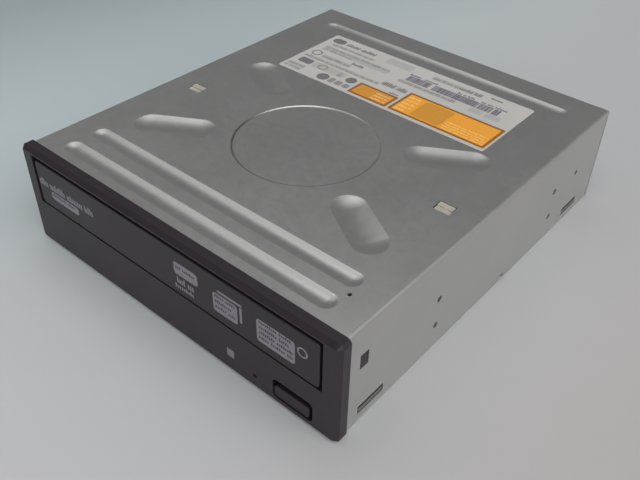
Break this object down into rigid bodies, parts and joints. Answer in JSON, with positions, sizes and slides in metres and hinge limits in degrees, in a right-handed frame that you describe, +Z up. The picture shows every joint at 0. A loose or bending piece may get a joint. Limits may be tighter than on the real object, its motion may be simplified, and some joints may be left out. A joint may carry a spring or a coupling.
{
  "type": "internal disc writer",
  "caption": "Internal half-height optical disc writer for a computer bay: steel case, black front, loading tray, laser unit and rear sockets.",
  "frame": {"origin": "on the ground, under the middle of the whole drive", "axes": "+Z up; +X to the right as seen from the front; the front panel faces -Y and the sockets face +Y"},
  "size_m": [0.1486, 0.1706, 0.042],
  "materials": {
    "cover_steel": "zinc-coated sheet, satin",
    "bright_steel": "plain steel",
    "screw_steel": "plated",
    "panel_plastic": "fine satin black",
    "tray_plastic": "satin",
    "frame_plastic": "moulded",
    "lamp_window": "clear",
    "switch_body": "moulded",
    "switch_stem": "moulded",
    "gear_plastic": "natural acetal",
    "motor_can": "drawn can",
    "belt_rubber": "rubber",
    "cast_metal": "cast",
    "magnet": "plated",
    "gilt": "gold plated",
    "lens_plastic": "moulded",
    "lens_glass": "coated",
    "board_green": "solder mask",
    "chip_black": "epoxy",
    "connector_pale": "moulded",
    "ribbon_white": "flat cable",
    "connector_black": "moulded",
    "label_paper": "satin paper"
  },
  "bodies": {
    "chassis": {"top_cover": "cover_steel", "bottom_cover": "cover_steel", "cover_screws": "screw_steel", "front_bezel": "panel_plastic", "led_window": "lamp_window", "eject_switch": "switch_body", "drive_belt": "belt_rubber", "loading_motor": "motor_can", "motor_screws": "screw_steel", "loader_frame": "frame_plastic", "clamp_bridge": "bright_steel", "main_board": "board_green", "board_screws": "screw_steel", "controller_chip": "chip_black", "driver_chip": "chip_black", "memory_chip": "chip_black", "capacitors": "motor_can", "front_board": "board_green", "status_lamp": "lamp_window", "ribbon_connector": "connector_pale", "front_ribbon": "ribbon_white", "ide_header": "connector_black", "power_socket": "connector_pale", "power_pins": "gilt", "jumper_block": "connector_black", "header_pins": "gilt", "jumper_cap": "connector_black", "audio_header": "connector_black", "top_label": "label_paper"},
    "tray": {"disc_tray": "tray_plastic", "tray_door": "panel_plastic"},
    "button": {"eject_button": "panel_plastic"},
    "plunger": {"switch_plunger": "switch_stem"},
    "drive_gear": {"drive_gear": "gear_plastic"},
    "pulley_gear": {"pulley_gear": "gear_plastic"},
    "motor_rotor": {"motor_pulley": "gear_plastic", "motor_shaft": "bright_steel"},
    "clamper": {"clamper": "frame_plastic", "clamper_plate": "bright_steel"},
    "traverse": {"lift_frame": "frame_plastic", "dampers": "belt_rubber", "damper_screws": "screw_steel", "pickup_base": "bright_steel", "main_guide_rod": "bright_steel", "side_guide_rod": "bright_steel", "sled_motor": "motor_can", "spindle_motor": "motor_can"},
    "turntable": {"spindle_rotor": "bright_steel", "turntable": "cast_metal", "hub_magnet": "magnet", "friction_ring": "belt_rubber"},
    "pickup_sled": {"pickup_housing": "cast_metal", "laser_diode": "gilt", "actuator_yoke": "bright_steel", "actuator_magnets": "magnet", "feed_nut": "gear_plastic"},
    "lens": {"lens_carrier": "lens_plastic", "objective_lens": "lens_glass"},
    "feed_screw": {"feed_screw": "bright_steel"},
    "cam_slider": {"cam_slider": "gear_plastic"}
  },
  "joints": [
    {"name": "tray_slide", "type": "slide", "parent": "chassis", "child": "tray", "axis": [0, -1, 0], "range_m": [0, 0.138]},
    {"name": "eject_press", "type": "slide", "parent": "chassis", "child": "button", "axis": [0, 1, 0], "range_m": [0, 0.0005], "stiffness_N_per_m": 300},
    {"name": "plunger_press", "type": "slide", "parent": "chassis", "child": "plunger", "axis": [0, 1, 0], "range_m": [0, 0.00025]},
    {"name": "drive_gear_spin", "type": "hinge", "parent": "chassis", "child": "drive_gear", "pos_m": [-0.045, -0.06335, 0.014], "axis": [0, 0, 1], "continuous": true},
    {"name": "pulley_gear_spin", "type": "hinge", "parent": "chassis", "child": "pulley_gear", "pos_m": [-0.0274, -0.06335, 0.014], "axis": [0, 0, 1], "continuous": true},
    {"name": "motor_spin", "type": "hinge", "parent": "chassis", "child": "motor_rotor", "pos_m": [0.002, -0.06335, 0.018], "axis": [0, 0, 1], "continuous": true},
    {"name": "clamper_spin", "type": "hinge", "parent": "chassis", "child": "clamper", "pos_m": [0, -0.01535, 0.034], "axis": [0, 0, 1], "continuous": true},
    {"name": "traverse_tilt", "type": "hinge", "parent": "chassis", "child": "traverse", "pos_m": [0, 0.06865, 0.01275], "axis": [1, 0, 0], "range_deg": [0, 4.5]},
    {"name": "turntable_spin", "type": "hinge", "parent": "traverse", "child": "turntable", "pos_m": [0, -0.01535, 0.025], "axis": [0, 0, 1], "continuous": true},
    {"name": "sled_slide", "type": "slide", "parent": "traverse", "child": "pickup_sled", "axis": [0, 1, 0], "range_m": [0, 0.033]},
    {"name": "feed_screw_spin", "type": "hinge", "parent": "traverse", "child": "feed_screw", "pos_m": [-0.0314, 0.02465, 0.0204], "axis": [0, 1, 0], "continuous": true},
    {"name": "lens_focus", "type": "slide", "parent": "pickup_sled", "child": "lens", "axis": [0, 0, 1], "range_m": [-0.0006, 0.0006], "stiffness_N_per_m": 60},
    {"name": "cam_slide", "type": "slide", "parent": "chassis", "child": "cam_slider", "axis": [1, 0, 0], "range_m": [0, 0.02005]}
  ],
  "couplings": [
    {"joint": "drive_gear_spin", "follows": "tray_slide", "rad_per_m": 125},
    {"joint": "pulley_gear_spin", "follows": "tray_slide", "rad_per_m": -333.33},
    {"joint": "motor_spin", "follows": "tray_slide", "rad_per_m": -1100},
    {"joint": "plunger_press", "follows": "eject_press", "ratio": 0.5},
    {"joint": "clamper_spin", "follows": "turntable_spin", "ratio": 1},
    {"joint": "feed_screw_spin", "follows": "sled_slide", "rad_per_m": 2094.4},
    {"joint": "cam_slide", "follows": "traverse_tilt", "m_per_rad": 0.25465}
  ]
}
